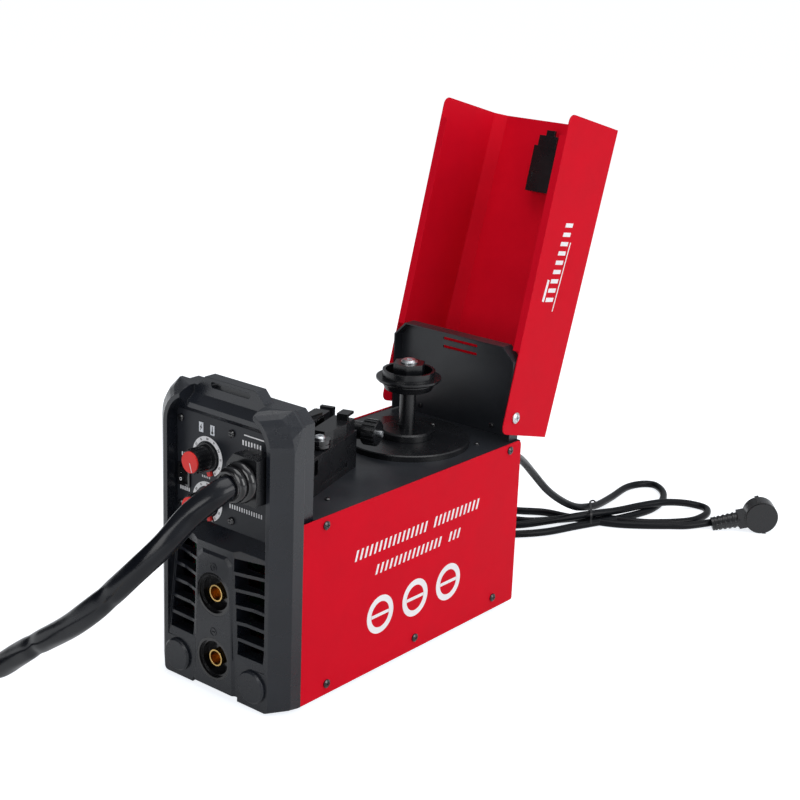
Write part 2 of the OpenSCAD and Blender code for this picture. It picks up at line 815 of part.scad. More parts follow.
module feeder_base() {
  color([0.17, 0.17, 0.19]) feed_frame() difference() {
    union() {
      span_box([-28, 66, deck_z + eps], [block_right_v, block_rear_s, block_top]);
      // raised guide body behind the drive roll
      translate([0, 0, block_top - eps]) linear_extrude(11)
        polygon([[-4, 122], [9, 122], [14, 130], [17, 152], [17, block_rear_s], [-4, block_rear_s]]);
      // fork that holds the tension screw
      span_box([-4, block_rear_s - eps, deck_z + eps], [1, tension_s + 9, block_top]);
      // hooked end of the guide body
      span_box([4, block_rear_s - 12, block_top + 10], [15, block_rear_s - 9, block_top + 17]);
      span_box([4, block_rear_s - 12, block_top + 15], [15, block_rear_s + 2, block_top + 17.5]);
      // inlet boss towards the spool
      span_box([-4, 92, block_top - eps], [3, 97, block_top + 10]);
    }
    translate([roll_r, roll_s, deck_z - 1]) cylinder(r = shaft_r + slide_gap, h = 50);
    translate([tension_pivot_v, arm_pivot_s, deck_z + 10]) cylinder(r = 3, h = 40);
    span_box([-5, tension_s - 5, tension_z - 5], [2, tension_s + 5, block_top + 1]);
    translate([0, 88, wire_z]) rotate([-90, 0, 0]) cylinder(r = 1.5, h = 100);
    span_box([block_right_v - 6, 81, 189], [block_right_v + 1, 88, 203]);
    span_box([block_right_v - 1.2, 96, 176], [block_right_v + 1, 150, 181]);
  }
}

// Arm on the left that presses the idler against the drive roll
module pressure_arm() {
  color([0.15, 0.15, 0.17]) feed_frame() difference() {
    union() {
      translate([0, 0, block_top + 7.7]) linear_extrude(2.3)
        polygon([[-30, 68], [-14, 68], [-5.5, 100], [-5.5, 118], [-14, 130], [-14, 182], [-30, 182]]);
      span_box([-29, block_rear_s + 2, 191], [-15, tension_s + 9, block_top + 10]);
      // thumb tab
      translate([0, 0, block_top + 10 - eps]) linear_extrude(2.6)
        polygon([[-27, 152], [-20, 148], [-15, 168], [-20, 174]]);
      translate([tension_pivot_v, arm_pivot_s, block_top + 0.5]) cylinder(r = 7, h = 8);
      translate([tension_pivot_v, arm_pivot_s, deck_z + 10.2]) cylinder(r = shaft_r - slide_gap, h = 40);
      translate([-roll_r, roll_s, block_top + 0.8]) cylinder(r = shaft_r, h = 8);
    }
    span_box([-30, tension_s - 4.2, 190], [-10, tension_s + 4.2, block_top + 20]);
    translate([tension_pivot_v, 160, tension_z]) rotate([-90, 0, 0]) cylinder(r = 2 + slide_gap, h = 40);
  }
}

module drive_roll() {
  color("silver") feed_frame() difference() {
    union() {
      translate([roll_r, roll_s, roll_z]) cylinder(r = roll_r - 1, h = roll_h);
      translate([roll_r, roll_s, deck_z - 24]) cylinder(r = shaft_r, h = roll_z - deck_z + 25);
      for (z = [roll_z, roll_z + roll_h - 2.8])
        translate([roll_r, roll_s, z]) cylinder(r = roll_r - 0.2, h = 2.8);
    }
    translate([roll_r, roll_s, roll_z + roll_h - 4.6]) cylinder(r = 2, h = 8);
  }
}

// Hex-socket screw that keeps the drive roll on its shaft
module drive_roll_screw() {
  color("silver") feed_frame() translate([roll_r, roll_s, roll_z + roll_h]) difference() {
    union() {
      cylinder(r = 5.2, h = 1.6);
      translate([0, 0, 1.6 - eps]) cylinder(r1 = 5.2, r2 = 4, h = 1.2);
      translate([0, 0, -4.6]) cylinder(r = 2, h = 5);
    }
    translate([0, 0, 0.8]) cylinder(r = 2.3, h = 4, $fn = 6);
  }
}

module idler_roll() {
  color("silver") feed_frame() translate([-roll_r, roll_s, roll_z + 1]) difference() {
    cylinder(r = roll_r - 0.2, h = roll_h - 2);
    translate([0, 0, -1]) cylinder(r = shaft_r + slide_gap, h = 12);
  }
}

// Places children at the tension screw's pivot, with X along the screw
module at_tension() {
  feed_frame() translate([tension_pivot_v, tension_s, tension_z]) children();
}

module tension_screw() {
  color("silver") at_tension() difference() {
    union() {
      rotate([90, 0, 0]) cylinder(r = 5, h = 8, center = true);
      rotate([90, 0, 0]) cylinder(r = 2, h = 16, center = true);
      rotate([0, 90, 0]) cylinder(r = 3, h = 60);
    }
    translate([59, 0, 0]) cube([4, 0.8, 8], center = true);
  }
}

// Knurled knob with the long skirt that covers the tension spring
module tension_knob() {
  color([0.08, 0.08, 0.09]) at_tension() rotate([0, 90, 0]) difference() {
    union() {
      translate([0, 0, 29.5]) cylinder(r = 8.5, h = 13.5);
      translate([0, 0, 42]) cylinder(r = 11.4, h = 14);
      translate([0, 0, 43]) for (turn = [0 : 24 : 336]) rotate([0, 0, turn])
        translate([10.6, -1.3, 0]) cube([1.9, 2.6, 12]);
    }
    cylinder(r = 3 + slide_gap, h = 60);
    translate([0, 0, 29]) cylinder(r = 6, h = 10);
  }
}

// Thin inlet tube that takes the wire from the spool
module wire_guide() {
  color("goldenrod") feed_frame() translate([0, block_rear_s - 46, wire_z]) rotate([-90, 0, 0]) difference() {
    cylinder(r = 1.45, h = 56);
    translate([0, 0, -1]) cylinder(r = 0.7, h = 60);
  }
}

// Gear motor under the deck
module feed_motor() {
  color("gray") {
    feed_frame() {
      translate([-6, 140, deck_z - 62]) cylinder(r = 18.5, h = 60);
      difference() {
        span_box([-20, 98, deck_z - 24], [18, 160, deck_z - 1.4]);
        translate([roll_r, roll_s, deck_z - 24.5]) cylinder(r = shaft_r + slide_gap, h = 26);
      }
    }
  }
}

// ---------- spool hub ----------

module at_hub(z) {
  translate([0, hub_y, z]) children();
}

module spool_plate() {
  color([0.07, 0.07, 0.08]) difference() {
    union() {
      at_hub(deck_z) cylinder(r = hub_plate_r, h = hub_plate_t - 1);
      at_hub(deck_z + hub_plate_t - 1 - eps) cylinder(r1 = hub_plate_r, r2 = hub_plate_r - 1, h = 1);
      at_hub(deck_z - 9) cylinder(r = 5, h = 10);
    }
    at_hub(deck_z - 10) cylinder(r = 3 + slide_gap, h = 30);
  }
}

module spool_hub() {
  color([0.07, 0.07, 0.08]) at_hub(deck_z + hub_plate_t + 0.2) {
    cylinder(r = hub_boss_r, h = 6);
    translate([0, 0, 6 - eps]) cylinder(r1 = hub_boss_r, r2 = hub_boss_r - 1.5, h = 1.6);
    cylinder(r = spindle_r, h = 48);
    translate([0, 0, -14]) cylinder(r = 3, h = 16);
    translate([0, 0, 48 - eps]) cylinder(r = 6, h = 8);
  }
}

// Open cup that centres and clamps the spool
module spool_cup() {
  color([0.07, 0.07, 0.08]) at_hub(deck_z + hub_plate_t + 48.2) difference() {
    union() {
      cylinder(r1 = 23, r2 = 25.6, h = 6);
      translate([0, 0, 6 - eps]) cylinder(r = 25.6, h = 13);
      translate([0, 0, 8.4]) cylinder(r1 = 30, r2 = cup_flange_r, h = 1.6);
      translate([0, 0, 10 - eps]) cylinder(r = cup_flange_r, h = 2);
    }
    translate([0, 0, 3.2]) cylinder(r = 22.6, h = 30);
    translate([0, 0, -1]) cylinder(r = 6, h = 30);
  }
}

module brake_knob() {
  color([0.09, 0.09, 0.1]) at_hub(deck_z + 62.6) difference() {
    union() {
      cylinder(r = 16.2, h = 12.6, $fn = 6);
      cylinder(r = 12, h = 17.6);
      translate([0, 0, 11]) cylinder(r = 16.2, h = 6.6, $fn = 6);
    }
    translate([0, 0, 12.4]) cylinder(r = 4 + slide_gap, h = 10);
  }
}

module brake_bolt() {
  color("silver") at_hub(deck_z + 62.6 + 17.7) difference() {
    union() {
      cylinder(r = 8.2, h = 1.2);
      translate([0, 0, 1.2 - eps]) cylinder(r1 = 7.4, r2 = 6, h = 1.8);
      translate([0, 0, -5]) cylinder(r = 4, h = 6);
    }
    translate([0, 0, 1.4]) cylinder(r = 3, h = 4, $fn = 6);
  }
}

// ---------- inside the case ----------

module control_board() {
  color("darkgreen") {
    span_box([-60, -150, 8], [-58.4, 60, 120]);
    for (y = [-130 : 36 : 30]) span_box([-58.5, y, 30], [-46, y + 18, 46]);
    for (y = [-120 : 44 : 20]) span_box([-58.5, y, 70], [-50, y + 12, 82]);
  }
}

module heatsinks() {
  color("silver") for (y = [-70, 0]) {
    span_box([-34, y, 4], [-30, y + 56, 84]);
    for (z = [6 : 11 : 80]) span_box([-30 - eps, y, z], [-6, y + 56, z + 2]);
  }
}

module transformer() {
  color("peru") {
    span_box([8, -50, 4], [60, -10, 66]);
    span_box([16, -60, 16], [52, 0, 54]);
  }
}

module capacitors() {
  color("navy") for (x = [24, 52], y = [24, 54]) translate([x, y, 3]) cylinder(r = 12.5, h = 46);
}

module fan_frame() {
  color([0.1, 0.1, 0.1]) {
    difference() {
      span_box([-40, rear_face_y - 26, 22], [40, rear_face_y - 1, 102]);
      rod_y(0, 62, 38, rear_face_y - 23, rear_face_y);
      rod_y(0, 62, 34, rear_face_y - 27, rear_face_y);
    }
    for (turn = [0, 90]) translate([0, rear_face_y - 25, 62]) rotate([0, turn + 45, 0])
      cube([74, 2, 5], center = true);
    rod_y(0, 62, 12, rear_face_y - 26, rear_face_y - 22);
    rod_y(0, 62, 2, rear_face_y - 22 - eps, rear_face_y - 10);
  }
}

module fan_rotor() {
  color([0.16, 0.16, 0.17]) difference() {
    union() {
      rod_y(0, 62, 14, rear_face_y - 20, rear_face_y - 5);
      for (turn = [0 : 360 / 7 : 359]) translate([0, rear_face_y - 12.5, 62]) rotate([0, turn, 0])
        translate([24, 0, 0]) rotate([35, 0, 0]) cube([24, 1.6, 17], center = true);
    }
    rod_y(0, 62, 2 + slide_gap, rear_face_y - 21, rear_face_y - 9);
  }
}

module gas_valve() {
  color("gray") {
    span_box([-70, 96, 72], [-46, 124, 110]);
    rod_y(-58, 120 - 28, 9, 82, 97);
    rod_y(-48, 92, 4, 124 - eps, rear_face_y - 4);
  }
}

module gas_inlet() {
  color("gold") difference() {
    union() {
      rod_y(-48, 92, 5, rear_face_y - 4, rear_face_y + 6);
      rod_y(-48, 92, 8, rear_face_y + 1.5, rear_face_y + 6);
      rod_y(-48, 92, 4, rear_face_y + 6 - eps, rear_face_y + 22);
    }
    rod_y(-48, 92, 2.2, rear_face_y - 10, rear_face_y + 30);
  }
}

// ---------- mains cord ----------

cord_z = floor_z + cord_d / 2;
cord_up = cord_z + cord_d * 0.95;
cord_points = [
  // down from the gland to the tie
  [50, 148, 140], [50, 162, 140], [50, 174, 139.6], [46, 200, 134], [30, 238, 114],
  [14, 281, 86], [6, 322, 54], [2, 359, 30], [2, 390, 14], [2, 420, 6],
  // first loop, back under the tie
  [0, 442, 2], [-7, 482, cord_z], [-12, 522, cord_z], [-6, 545, cord_z], [6, 555, cord_z],
  [20, 549, cord_z], [33, 535, cord_z], [43, 515, cord_z], [48, 490, cord_z], [47, 468, cord_z],
  [38, 433, cord_z], [27, 405, cord_z], [14, 373, cord_z], [0, 336, cord_z], [-20, 307, cord_z],
  // first turn behind the case
  [-50, 278, cord_z], [-86, 254, cord_z], [-114, 250, cord_z], [-126, 266, cord_z],
  [-108, 286, cord_z], [-70, 304, cord_z], [-37, 328, cord_z],
  // second loop, on top of the bundle
  [-10, 361, cord_z + 4], [16, 399, cord_up], [32, 430, cord_up], [44, 465, cord_up],
  [57, 492, cord_up], [69, 517, cord_z + 4], [81, 532, cord_z], [94, 530, cord_z],
  [102, 518, cord_z], [104, 502, cord_z], [100, 482, cord_z], [84, 459, cord_z],
  [61, 437, cord_z], [34, 424, cord_z], [10, 408, cord_z], [-10, 379, cord_z],
  [-30, 352, cord_z], [-50, 339, cord_z],
  // second turn behind the case
  [-84, 322, cord_z], [-122, 314, cord_z], [-148, 328, cord_z], [-144, 350, cord_z],
  [-112, 358, cord_z], [-80, 356, cord_z], [-60, 367, cord_z],
  // last run to the plug
  [-36, 384, cord_z], [-8, 391, cord_z], [16, 400, cord_z], [32, 406, cord_z], [50, 416, cord_z],
  [72, 434, cord_z], [90, 451, cord_z], [106, 467, cord_z], cord_end
];

// The cord never lies quite flat: every point is lifted a little, by its own amount
module mains_cord() {
  path = smooth_path(cord_points, 2);
  lifted = [for (i = [0 : len(path) - 1]) path[i] + [0, 0, i < 4 ? 0 : 0.3 + 0.3 * sin(i * 67)]];
  color("black") cord_through(lifted, cord_d, 8);
}

// Screwed gland that grips the cord at the rear panel
module cord_gland() {
  color("black") difference() {
    union() {
      rod_y(50, 140, 8, rear_face_y - 8, rear_face_y + 4);
      rod_y(50, 140, 11, rear_face_y + 1.5, rear_face_y + 6);
      translate([50, rear_face_y + 16, 140]) rotate([90, 0, 0]) cylinder(r1 = 7, r2 = 10, h = 11);
    }
    rod_y(50, 140, cord_d / 2, rear_face_y - 9, rear_face_y + 20);
  }
}

// Flat band around the bundle of cord
module cable_tie() {
  long_half = 22.5;
  high_half = cord_d + 0.6;
  color("black") translate([11.8, 406.4, floor_z + high_half]) rotate([90, 0, -54.4])
    linear_extrude(2.4, center = true) difference() {
      hull() for (x = [-1, 1]) translate([x * (long_half - high_half), 0]) circle(r = high_half, $fn = 24);
      hull() for (x = [-1, 1]) translate([x * (long_half - high_half), 0]) circle(r = high_half - 1, $fn = 24);
    }
}

// Plug disc stands on its rim: X runs on from the cord, the pins point along Y
module plug_frame() {
  translate(plug_pos) rotate([0, 0, 38.9]) rotate([0, -13.7, 0]) children();
}

// Right-angle round plug with its ribbed strain relief
module mains_plug() {
  color([0.08, 0.08, 0.08]) {
    plug_frame() {
      rod_y(0, 0, plug_r - 0.2, -9, 10);
      rod_y(0, 0, plug_r - 1.6, -10.4, -9 + eps);
      span_box([-26, -8, -9], [-12, 8, 9]);
      for (side = [-1, 1]) span_box([-2.2, -8.5, side > 0 ? 17 : -21.2], [2.2, 8, side > 0 ? 21.2 : -17]);
      translate([-54, 0, 0]) rotate([0, 90, 0]) cylinder(r1 = 7, r2 = 8.6, h = 30);
      translate([-56, 0, 0]) rotate([0, 90, 0]) cylinder(r = 7.8, h = 3);
    }
  }
}

module plug_pins() {
  color("silver") plug_frame() for (side = [-1, 1]) rod_y(side * 9.5, 0, 2.4, 10, 29);
}

base_tray();
rubber_feet();
left_side_panel();
right_side_panel();
side_panel_screws();
front_bezel();
foot_caps();
control_panel();
panel_screws();
indicator_lenses();
current_knob();
current_knob_cap();
speed_knob();
speed_knob_cap();
potentiometers();
switch_housings();
mode_rocker();
power_rocker();
weld_sockets();
socket_inserts();
torch_connector_block();
torch_gland_nut();
torch_cable();
torch_handle();
torch_trigger();
torch_neck();
deck_plate();
deck_screws();
rear_panel();
hood();
hood_pivot_screws();
latch_body();
latch_slider();
feeder_base();
pressure_arm();
drive_roll();
drive_roll_screw();
idler_roll();
tension_screw();
tension_knob();
wire_guide();
feed_motor();
spool_plate();
spool_hub();
spool_cup();
brake_knob();
brake_bolt();
control_board();
heatsinks();
transformer();
capacitors();
fan_frame();
fan_rotor();
gas_valve();
gas_inlet();
cord_gland();
mains_cord();
cable_tie();
mains_plug();
plug_pins();
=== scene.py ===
"""Looks of a compact MIG welding machine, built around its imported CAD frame.

Lengths in the building code are millimetres in the frame's own axes: -Y is the front, +Z is up.
MM turns them into metres.
"""
import json
import math

import bmesh
import bpy
from mathutils import Matrix, Vector


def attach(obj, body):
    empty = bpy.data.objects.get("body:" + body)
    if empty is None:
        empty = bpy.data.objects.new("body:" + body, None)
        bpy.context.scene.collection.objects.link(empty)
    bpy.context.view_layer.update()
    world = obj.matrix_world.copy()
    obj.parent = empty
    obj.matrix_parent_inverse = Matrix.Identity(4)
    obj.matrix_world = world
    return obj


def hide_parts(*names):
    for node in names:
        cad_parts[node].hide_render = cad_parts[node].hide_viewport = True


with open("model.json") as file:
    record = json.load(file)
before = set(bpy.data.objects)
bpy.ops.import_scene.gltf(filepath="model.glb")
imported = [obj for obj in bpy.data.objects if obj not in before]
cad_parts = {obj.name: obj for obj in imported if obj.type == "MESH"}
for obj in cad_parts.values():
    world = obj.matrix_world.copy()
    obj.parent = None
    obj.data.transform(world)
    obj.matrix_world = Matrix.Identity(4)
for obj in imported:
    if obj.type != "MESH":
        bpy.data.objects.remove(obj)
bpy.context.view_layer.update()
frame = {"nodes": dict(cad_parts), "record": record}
nodes = frame["nodes"]
MM = 0.001


# ---------- materials ----------

def node(tree, kind, **inputs):
    """A shader node with its inputs set; an underscore in a name stands for a space."""
    made = tree.nodes.new(kind)
    for key, value in inputs.items():
        made.inputs[key.replace("_", " ")].default_value = value
    return made


def mix_colour(tree, factor, a, b):
    """A colour mix; a and b are colours or sockets."""
    made = tree.nodes.new("ShaderNodeMix")
    made.data_type = "RGBA"
    tree.links.new(factor, made.inputs[0])
    for index, value in ((6, a), (7, b)):
        if isinstance(value, (list, tuple)):
            made.inputs[index].default_value = list(value)[:3] + [1]
        else:
            tree.links.new(value, made.inputs[index])
    return made.outputs[2]


def finish_material(name, colour, rough, metal=0.0, coat=0.0, grain=1400.0, bump=0.12, mottle=0.08,
                    mottle_scale=28.0, rough_var=0.08, edge=0.4, wear=0.25, wear_colour=None,
                    stretch=(1, 1, 1), scratches=0.0, specular=0.5, dust=0.0):
    """A procedural finish: rounded edges, fine grain, slow colour mottling, edge wear and roughness drift."""
    mat = bpy.data.materials.new(name)
    mat.use_nodes = True
    t = mat.node_tree
    t.nodes.clear()
    link = t.links.new
    out = t.nodes.new("ShaderNodeOutputMaterial")
    bsdf = t.nodes.new("ShaderNodeBsdfPrincipled")
    bsdf.inputs["Metallic"].default_value = metal
    bsdf.inputs["Coat Weight"].default_value = coat
    bsdf.inputs["Coat Roughness"].default_value = 0.12
    bsdf.inputs["Specular IOR Level"].default_value = specular
    link(bsdf.outputs[0], out.inputs[0])
    coords = t.nodes.new("ShaderNodeTexCoord")
    mapping = t.nodes.new("ShaderNodeMapping")
    mapping.inputs["Scale"].default_value = stretch
    link(coords.outputs["Object"], mapping.inputs["Vector"])

    fine = node(t, "ShaderNodeTexNoise", Scale=grain, Detail=2.0, Roughness=0.6)
    slow = node(t, "ShaderNodeTexNoise", Scale=mottle_scale, Detail=4.0, Roughness=0.6)
    link(mapping.outputs[0], fine.inputs["Vector"])
    link(mapping.outputs[0], slow.inputs["Vector"])

    bevel = node(t, "ShaderNodeBevel", Radius=edge * MM)
    bevel.samples = 4
    bump_node = node(t, "ShaderNodeBump", Strength=bump, Distance=0.0003)
    link(fine.outputs["Fac"], bump_node.inputs["Height"])
    link(bevel.outputs[0], bump_node.inputs["Normal"])
    link(bump_node.outputs[0], bsdf.inputs["Normal"])

    spread = node(t, "ShaderNodeMapRange", From_Min=0.3, From_Max=0.7)
    link(slow.outputs["Fac"], spread.inputs["Value"])
    colour_out = mix_colour(t, spread.outputs[0], [c * (1 - mottle) for c in colour],
                            [min(1.0, c * (1 + mottle)) for c in colour])

    geometry = t.nodes.new("ShaderNodeNewGeometry")
    facing = t.nodes.new("ShaderNodeVectorMath")
    facing.operation = "DOT_PRODUCT"
    link(bevel.outputs[0], facing.inputs[0])
    link(geometry.outputs["True Normal"], facing.inputs[1])
    edge_mask = node(t, "ShaderNodeMapRange", From_Min=0.995, From_Max=0.86, To_Max=wear)
    link(facing.outputs["Value"], edge_mask.inputs["Value"])
    broken = t.nodes.new("ShaderNodeMath")
    broken.operation = "MULTIPLY"
    link(edge_mask.outputs[0], broken.inputs[0])
    link(spread.outputs[0], broken.inputs[1])
    tone = wear_colour or [min(1.0, c * 1.6 + 0.05) for c in colour]
    colour_out = mix_colour(t, broken.outputs[0], colour_out, tone)

    if dust:
        upward = t.nodes.new("ShaderNodeSeparateXYZ")
        link(geometry.outputs["Normal"], upward.inputs[0])
        dusty = node(t, "ShaderNodeMapRange", From_Min=0.7, From_Max=1.0, To_Max=dust)
        link(upward.outputs["Z"], dusty.inputs["Value"])
        fleck = node(t, "ShaderNodeTexNoise", Scale=260.0, Detail=4.0, Roughness=0.7)
        link(coords.outputs["Object"], fleck.inputs["Vector"])
        amount = t.nodes.new("ShaderNodeMath")
        amount.operation = "MULTIPLY"
        link(dusty.outputs[0], amount.inputs[0])
        link(fleck.outputs["Fac"], amount.inputs[1])
        colour_out = mix_colour(t, amount.outputs[0], colour_out, (0.42, 0.42, 0.44))
    link(colour_out, bsdf.inputs["Base Color"])

    drift = node(t, "ShaderNodeMapRange", From_Min=0.25, From_Max=0.75,
                 To_Min=max(0.03, rough - rough_var), To_Max=min(1.0, rough + rough_var))
    link(slow.outputs["Fac"], drift.inputs["Value"])
    rough_out = drift.outputs[0]
    if scratches:
        lines = node(t, "ShaderNodeTexNoise", Scale=300.0, Detail=1.0)
        turned = t.nodes.new("ShaderNodeMapping")
        turned.inputs["Scale"].default_value = (1, 30, 30)
        link(coords.outputs["Object"], turned.inputs["Vector"])
        link(turned.outputs[0], lines.inputs["Vector"])
        scaled = node(t, "ShaderNodeMath")
        scaled.operation = "MULTIPLY_ADD"
        link(lines.outputs["Fac"], scaled.inputs[0])
        scaled.inputs[1].default_value = scratches
        link(rough_out, scaled.inputs[2])
        rough_out = scaled.outputs[0]
    link(rough_out, bsdf.inputs["Roughness"])
    return mat


RED = (0.66, 0.004, 0.018)
MAT = {
    "red_paint": finish_material(
        "red_powder_coat", RED, 0.40, grain=900, bump=0.05, mottle=0.04, specular=0.05, edge=0.35,
        wear=0.16, wear_colour=(0.9, 0.10, 0.12), rough_var=0.05),
    "dark_paint": finish_material(
        "dark_powder_coat", (0.014, 0.016, 0.020), 0.36, grain=1500, bump=0.14, mottle=0.12, edge=0.4,
        wear=0.2, dust=0.012),
    "bezel_plastic": finish_material(
        "moulded_bezel_plastic", (0.009, 0.011, 0.016), 0.28, coat=0.12, grain=2600, bump=0.20,
        mottle=0.10, edge=0.8, wear=0.2, dust=0.006),
    "panel_film": finish_material(
        "printed_panel_film", (0.015, 0.017, 0.022), 0.36, specular=0.30, grain=3200, bump=0.10,
        mottle=0.06, edge=0.3),
    "black_plastic": finish_material(
        "black_moulded_plastic", (0.006, 0.0065, 0.008), 0.26, grain=2200, bump=0.16, mottle=0.15,
        edge=0.5, wear=0.25, dust=0.008),
    "gloss_black": finish_material(
        "gloss_black_plastic", (0.004, 0.004, 0.005), 0.12, coat=0.5, grain=1200, bump=0.03, edge=0.6,
        rough_var=0.04),
    "red_plastic": finish_material(
        "red_moulded_plastic", (0.88, 0.032, 0.028), 0.36, grain=1800, bump=0.10, edge=0.4, wear=0.1,
        wear_colour=(0.95, 0.3, 0.3), specular=0.35),
    "white_plastic": finish_material(
        "white_lens_plastic", (0.80, 0.83, 0.88), 0.30, grain=1800, bump=0.05, mottle=0.04, edge=0.3),
    "zinc_steel": finish_material(
        "zinc_plated_steel", (0.62, 0.64, 0.66), 0.24, metal=1.0, grain=1600, bump=0.08, mottle=0.15,
        edge=0.35, scratches=0.15),
    "black_steel": finish_material(
        "black_oxide_steel", (0.006, 0.006, 0.008), 0.14, coat=0.6, grain=1500, bump=0.06, mottle=0.2,
        edge=0.4, wear=0.2, wear_colour=(0.12, 0.12, 0.13)),
    "galvanised": finish_material(
        "galvanised_sheet", (0.46, 0.48, 0.50), 0.38, metal=1.0, grain=500, bump=0.06, mottle=0.25,
        mottle_scale=90, edge=0.4),
    "brass": finish_material(
        "turned_brass", (0.84, 0.56, 0.20), 0.24, metal=1.0, grain=1500, bump=0.08, mottle=0.10,
        edge=0.4, wear=0.4, wear_colour=(1.0, 0.75, 0.35), stretch=(1, 0.1, 1)),
    "rubber": finish_material(
        "matt_rubber", (0.012, 0.012, 0.013), 0.62, grain=2000, bump=0.30, mottle=0.15, specular=0.35),
    "sleeve": finish_material(
        "pvc_sleeve", (0.005, 0.006, 0.009), 0.22, grain=700, bump=0.20, mottle=0.2, rough_var=0.08,
        specular=0.35),
    "cord_jacket": finish_material(
        "cord_rubber", (0.005, 0.006, 0.008), 0.30, specular=0.16, grain=1500, bump=0.16, mottle=0.2,
        rough_var=0.06),
    "aluminium": finish_material(
        "extruded_aluminium", (0.74, 0.75, 0.77), 0.30, metal=1.0, grain=900, bump=0.10,
        stretch=(1, 0.05, 1), mottle=0.08),
    "board": finish_material(
        "solder_mask", (0.012, 0.11, 0.05), 0.32, coat=0.3, grain=600, bump=0.25, mottle=0.35,
        mottle_scale=220),
    "coil": finish_material(
        "varnished_winding", (0.48, 0.20, 0.05), 0.34, metal=0.5, coat=0.3, grain=500, bump=0.5,
        stretch=(1, 8, 1), mottle=0.25),
    "blue_film": finish_material(
        "capacitor_sleeve", (0.02, 0.05, 0.22), 0.25, coat=0.2, grain=900, bump=0.05, mottle=0.1),
}
WHITE_INK = finish_material(
    "white_print", (0.93, 0.93, 0.95), 0.50, grain=2600, bump=0.06, mottle=0.05, edge=0.1, wear=0.0)
BLACK_INK = finish_material(
    "black_print", (0.012, 0.012, 0.014), 0.5, grain=2600, bump=0.06, mottle=0.08, edge=0.1, wear=0.0)

slot_of = {row["node"]: row["material_slot"] for row in frame["record"]["subparts"]}


def smooth(mesh, degrees):
    """Smooth shading with sharp edges kept above this angle."""
    mesh.shade_smooth()
    mesh.set_sharp_from_angle(angle=math.radians(degrees))


for name, obj in nodes.items():
    obj.data.materials.clear()
    obj.data.materials.append(MAT[slot_of[name]])


# ---------- building helpers ----------

def piece(name, verts, faces, mat, body, angle=32):
    """A mesh object in metres that rides on one body of the frame."""
    mesh = bpy.data.meshes.new(name)
    mesh.from_pydata([Vector(v) for v in verts], [], faces)
    mesh.validate()
    bm = bmesh.new()
    bm.from_mesh(mesh)
    bmesh.ops.recalc_face_normals(bm, faces=bm.faces)
    bm.to_mesh(mesh)
    bm.free()
    smooth(mesh, angle)
    mesh.materials.append(mat)
    obj = bpy.data.objects.new(name, mesh)
    bpy.context.scene.collection.objects.link(obj)
    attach(obj, body)
    return obj


def curve_point(a, b, c, d, t):
    """The point at t between b and c on a Catmull-Rom curve."""
    square = 2 * a - 5 * b + 4 * c - d
    cube = 3 * b - a - 3 * c + d
    return 0.5 * ((2 * b) + (c - a) * t + square * t * t + cube * t ** 3)


def smooth_path(points, steps):
    """A smooth curve through the points, with this many steps between two of them."""
    p = [Vector(q) for q in points]
    out = []
    for i in range(len(p) - 1):
        a, b, c, d = p[max(i - 1, 0)], p[i], p[i + 1], p[min(i + 2, len(p) - 1)]
        out += [curve_point(a, b, c, d, k / steps) for k in range(steps)]
    return out + [p[-1]]


def sweep(name, path, radius, mat, body, sides=20):
    """A tube along path (mm); radius(distance, angle) gives its radius in mm."""
    verts, faces = [], []
    up = Vector((0, 0, 1))
    along = 0.0
    normal = None
    for i, p in enumerate(path):
        tangent = (path[min(i + 1, len(path) - 1)] - path[max(i - 1, 0)]).normalized()
        if normal is None:
            normal = up.cross(tangent).normalized()
        normal = (normal - tangent * normal.dot(tangent)).normalized()
        side = tangent.cross(normal)
        if i:
            along += (p - path[i - 1]).length
        for k in range(sides):
            angle = 2 * math.pi * k / sides
            r = radius(along, angle)
            verts.append((p + normal * (r * math.cos(angle)) + side * (r * math.sin(angle))) * MM)
    for i in range(len(path) - 1):
        for k in range(sides):
            a, b = i * sides + k, i * sides + (k + 1) % sides
            faces.append((a, b, b + sides, a + sides))
    faces.append(tuple(range(sides)))
    faces.append(tuple(range((len(path) - 1) * sides, len(path) * sides)))
    return piece(name, verts, faces, mat, body, angle=60)


# ---------- flexible cables ----------

TORCH_POINTS = [
    (44, -204, 211), (42, -222, 207), (30, -240, 190), (20, -259, 168), (4, -272, 146), (-16, -282, 122),
    (-40, -290, 97), (-63, -293, 77), (-97, -297, 53), (-129, -300, 29), (-152, -303, 12), (-172, -312, 5.2),
    (-188, -330, 5.2), (-190, -352, 5.2), (-176, -374, 5.2), (-150, -392, 5.2),
    (-137.1, -401.4, 5.8),  # end hidden in the torch handle
]


# Where the sleeve is flattened along its length, and how deep
SLEEVE_DENTS = ((150, 1.9), (255, 2.2), (330, 1.4))
DENT_LENGTH = 7


def sleeve_radius(along, angle):
    """Slightly uneven sleeve with three flattened kinks."""
    r = 10.6 + 0.35 * math.cos(2 * angle + along * 0.045) + 0.18 * math.cos(5 * angle - along * 0.09)
    for centre, depth in SLEEVE_DENTS:
        d = (along - centre) / DENT_LENGTH
        r -= depth * math.exp(-d * d) * (0.6 + 0.4 * math.cos(2 * angle + along * 0.12))
    return r


torch = sweep("torch_sleeve", smooth_path(TORCH_POINTS, 14), sleeve_radius, MAT["sleeve"], "case", 40)
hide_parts("torch_cable")

